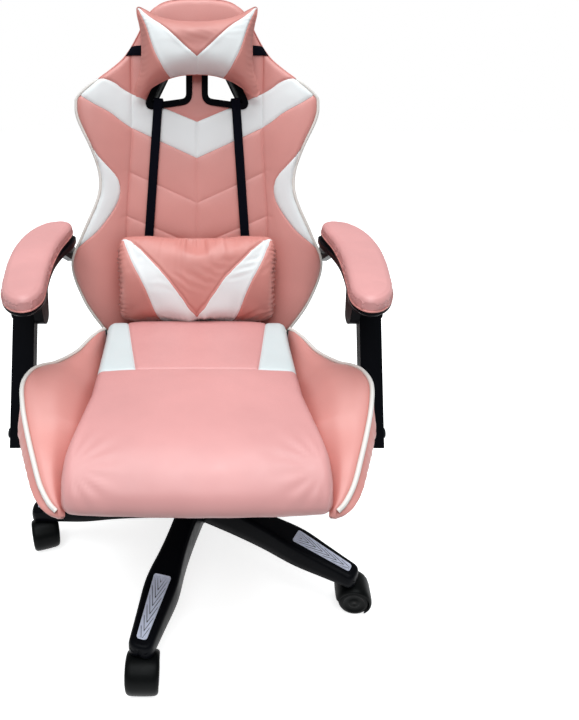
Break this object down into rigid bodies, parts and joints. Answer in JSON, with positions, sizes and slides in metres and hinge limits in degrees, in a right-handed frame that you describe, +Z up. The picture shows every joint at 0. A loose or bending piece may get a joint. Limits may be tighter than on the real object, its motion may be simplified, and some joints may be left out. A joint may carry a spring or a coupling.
{
  "type": "gaming chair",
  "caption": "High-backed reclining swivel chair with side bolsters, head and lumbar pillows, folding linkage armrests and a five-star base on casters.",
  "frame": {"origin": "centre of the five-star base, on the floor", "axes": "+Z up, the sitter faces -Y, +X to the sitter's left"},
  "size_m": [0.7329, 0.7932, 1.1596],
  "materials": {
    "pink_leatherette": "fine-grained polyurethane leatherette, satin",
    "white_leatherette": "fine-grained polyurethane leatherette, satin",
    "white_piping": "smooth corded piping",
    "black_plastic": "moulded nylon, light texture",
    "caster_plastic": "moulded nylon",
    "inlay": "pale grey moulded insert",
    "black_steel": "black powder coat",
    "zinc_steel": "zinc plated",
    "plywood": "raw plywood",
    "webbing": "woven elastic webbing"
  },
  "bodies": {
    "base": {"star_base": "black_plastic", "leg_inlays": "inlay", "column_tube": "black_steel", "cover_lower": "black_plastic"},
    "caster_1": {"caster_1_hood": "caster_plastic", "caster_1_pins": "zinc_steel"},
    "caster_1_left_wheel": {"caster_1_wheel_left": "caster_plastic"},
    "caster_1_right_wheel": {"caster_1_wheel_right": "caster_plastic"},
    "caster_2": {"caster_2_hood": "caster_plastic", "caster_2_pins": "zinc_steel"},
    "caster_2_left_wheel": {"caster_2_wheel_left": "caster_plastic"},
    "caster_2_right_wheel": {"caster_2_wheel_right": "caster_plastic"},
    "caster_3": {"caster_3_hood": "caster_plastic", "caster_3_pins": "zinc_steel"},
    "caster_3_left_wheel": {"caster_3_wheel_left": "caster_plastic"},
    "caster_3_right_wheel": {"caster_3_wheel_right": "caster_plastic"},
    "caster_4": {"caster_4_hood": "caster_plastic", "caster_4_pins": "zinc_steel"},
    "caster_4_left_wheel": {"caster_4_wheel_left": "caster_plastic"},
    "caster_4_right_wheel": {"caster_4_wheel_right": "caster_plastic"},
    "caster_5": {"caster_5_hood": "caster_plastic", "caster_5_pins": "zinc_steel"},
    "caster_5_left_wheel": {"caster_5_wheel_left": "caster_plastic"},
    "caster_5_right_wheel": {"caster_5_wheel_right": "caster_plastic"},
    "column_rod": {"piston_rod": "zinc_steel"},
    "middle_cover": {"cover_middle": "black_plastic"},
    "lift": {"gas_cylinder": "zinc_steel", "cover_upper": "black_plastic", "mechanism_housing": "black_steel", "tilt_pin": "zinc_steel"},
    "knob": {"tension_knob": "black_plastic"},
    "lever_pivot": {"lever_bush": "black_plastic"},
    "lever": {"lift_lever": "black_steel", "lever_grip": "black_plastic"},
    "seat": {"tilt_plate": "black_steel", "seat_bolts": "zinc_steel", "seat_board": "plywood", "seat_cushion": "pink_leatherette", "seat_bolsters": "pink_leatherette", "post_brackets": "black_steel", "seat_hinge_plates": "black_steel", "hinge_covers": "black_plastic"},
    "recliner_handle": {"recline_lever": "black_plastic"},
    "back": {"back_frame": "black_steel", "back_hinge_plates": "black_steel", "back_panel": "pink_leatherette", "back_wings": "pink_leatherette", "back_cover": "pink_leatherette", "belt_slot_trims": "black_plastic", "lumbar_straps": "webbing", "arm_pivot_pins": "zinc_steel"},
    "lumbar": {"lumbar_pillow": "pink_leatherette"},
    "head": {"head_pillow": "pink_leatherette", "head_strap": "webbing"},
    "arm_left": {"arm_pad_left": "pink_leatherette", "arm_tray_left": "black_plastic"},
    "post_left": {"arm_post_left": "black_plastic"},
    "arm_right": {"arm_pad_right": "pink_leatherette", "arm_tray_right": "black_plastic"},
    "post_right": {"arm_post_right": "black_plastic"}
  },
  "joints": [
    {"name": "caster_1_swivel", "type": "hinge", "parent": "base", "child": "caster_1", "pos_m": [-0.09236, -0.33759, 0.08], "axis": [0, 0, 1], "continuous": true},
    {"name": "caster_1_left_roll", "type": "hinge", "parent": "caster_1", "child": "caster_1_left_wheel", "pos_m": [-0.09236, -0.35559, 0.03], "axis": [1, 0, 0], "continuous": true},
    {"name": "caster_1_right_roll", "type": "hinge", "parent": "caster_1", "child": "caster_1_right_wheel", "pos_m": [-0.09236, -0.35559, 0.03], "axis": [1, 0, 0], "continuous": true},
    {"name": "caster_2_swivel", "type": "hinge", "parent": "base", "child": "caster_2", "pos_m": [0.29253, -0.19216, 0.08], "axis": [0, 0, 1], "continuous": true},
    {"name": "caster_2_left_roll", "type": "hinge", "parent": "caster_2", "child": "caster_2_left_wheel", "pos_m": [0.31036, -0.19466, 0.03], "axis": [0.1392, 0.9903, 0], "continuous": true},
    {"name": "caster_2_right_roll", "type": "hinge", "parent": "caster_2", "child": "caster_2_right_wheel", "pos_m": [0.31036, -0.19466, 0.03], "axis": [0.1392, 0.9903, 0], "continuous": true},
    {"name": "caster_3_swivel", "type": "hinge", "parent": "base", "child": "caster_3", "pos_m": [0.27315, 0.21884, 0.08], "axis": [0, 0, 1], "continuous": true},
    {"name": "caster_3_left_roll", "type": "hinge", "parent": "caster_3", "child": "caster_3_left_wheel", "pos_m": [0.28215, 0.23442, 0.03], "axis": [-0.866, 0.5, 0], "continuous": true},
    {"name": "caster_3_right_roll", "type": "hinge", "parent": "caster_3", "child": "caster_3_right_wheel", "pos_m": [0.28215, 0.23442, 0.03], "axis": [-0.866, 0.5, 0], "continuous": true},
    {"name": "caster_4_swivel", "type": "hinge", "parent": "base", "child": "caster_4", "pos_m": [-0.12372, 0.32741, 0.08], "axis": [0, 0, 1], "continuous": true},
    {"name": "caster_4_left_roll", "type": "hinge", "parent": "caster_4", "child": "caster_4_left_wheel", "pos_m": [-0.13931, 0.33641, 0.03], "axis": [-0.5, -0.866, 0], "continuous": true},
    {"name": "caster_4_right_roll", "type": "hinge", "parent": "caster_4", "child": "caster_4_right_wheel", "pos_m": [-0.13931, 0.33641, 0.03], "axis": [-0.5, -0.866, 0], "continuous": true},
    {"name": "caster_5_swivel", "type": "hinge", "parent": "base", "child": "caster_5", "pos_m": [-0.34961, -0.01649, 0.08], "axis": [0, 0, 1], "continuous": true},
    {"name": "caster_5_left_roll", "type": "hinge", "parent": "caster_5", "child": "caster_5_left_wheel", "pos_m": [-0.34346, -0.0334, 0.03], "axis": [0.9397, 0.342, 0], "continuous": true},
    {"name": "caster_5_right_roll", "type": "hinge", "parent": "caster_5", "child": "caster_5_right_wheel", "pos_m": [-0.34346, -0.0334, 0.03], "axis": [0.9397, 0.342, 0], "continuous": true},
    {"name": "seat_swivel", "type": "hinge", "parent": "base", "child": "column_rod", "pos_m": [0, 0, 0.07], "axis": [0, 0, 1], "continuous": true},
    {"name": "seat_lift", "type": "slide", "parent": "column_rod", "child": "lift", "axis": [0, 0, 1], "range_m": [0, 0.08]},
    {"name": "cover_slide", "type": "slide", "parent": "column_rod", "child": "middle_cover", "axis": [0, 0, 1], "range_m": [0, 0.04]},
    {"name": "tension_knob_turn", "type": "hinge", "parent": "lift", "child": "knob", "pos_m": [0, -0.118, 0.29], "axis": [0, 0, 1], "continuous": true},
    {"name": "lever_raise", "type": "hinge", "parent": "lift", "child": "lever_pivot", "pos_m": [-0.0465, -0.035, 0.326], "axis": [0, 1, 0], "range_deg": [0, 5], "stiffness_Nm_per_rad": 2, "springref_deg": -5.73},
    {"name": "tilt_lock_pull", "type": "slide", "parent": "lever_pivot", "child": "lever", "axis": [-1, 0, 0], "range_m": [0, 0.012]},
    {"name": "seat_tilt", "type": "hinge", "parent": "lift", "child": "seat", "pos_m": [0, -0.09, 0.347], "axis": [-1, 0, 0], "range_deg": [0, 12], "stiffness_Nm_per_rad": 150, "springref_deg": -28.65},
    {"name": "back_recline", "type": "hinge", "parent": "seat", "child": "back", "pos_m": [0, 0.155, 0.41], "axis": [-1, 0, 0], "range_deg": [0, 40]},
    {"name": "recline_lever_pull", "type": "hinge", "parent": "seat", "child": "recliner_handle", "pos_m": [0, 0.155, 0.41], "axis": [-1, 0, 0], "range_deg": [0, 25], "stiffness_Nm_per_rad": 0.8, "springref_deg": -11.46},
    {"name": "lumbar_slide", "type": "slide", "parent": "back", "child": "lumbar", "axis": [0, 0.2113, 0.9774], "range_m": [0, 0.06]},
    {"name": "head_slide", "type": "slide", "parent": "back", "child": "head", "axis": [0, 0.2113, 0.9774], "range_m": [0, 0.03]},
    {"name": "arm_left_fold", "type": "hinge", "parent": "back", "child": "arm_left", "pos_m": [0, 0.24693, 0.60987], "axis": [-1, 0, 0], "range_deg": [-40, 0]},
    {"name": "post_left_swing", "type": "hinge", "parent": "seat", "child": "post_left", "pos_m": [0, -0.155, 0.377], "axis": [-1, 0, 0], "range_deg": [0, 40]},
    {"name": "arm_right_fold", "type": "hinge", "parent": "back", "child": "arm_right", "pos_m": [0, 0.24693, 0.60987], "axis": [-1, 0, 0], "range_deg": [-40, 0]},
    {"name": "post_right_swing", "type": "hinge", "parent": "seat", "child": "post_right", "pos_m": [0, -0.155, 0.377], "axis": [-1, 0, 0], "range_deg": [0, 40]}
  ],
  "couplings": [
    {"joint": "cover_slide", "follows": "seat_lift", "ratio": 0.5},
    {"joint": "arm_left_fold", "follows": "back_recline", "ratio": -1},
    {"joint": "post_left_swing", "follows": "back_recline", "ratio": 1},
    {"joint": "arm_right_fold", "follows": "back_recline", "ratio": -1},
    {"joint": "post_right_swing", "follows": "back_recline", "ratio": 1}
  ]
}
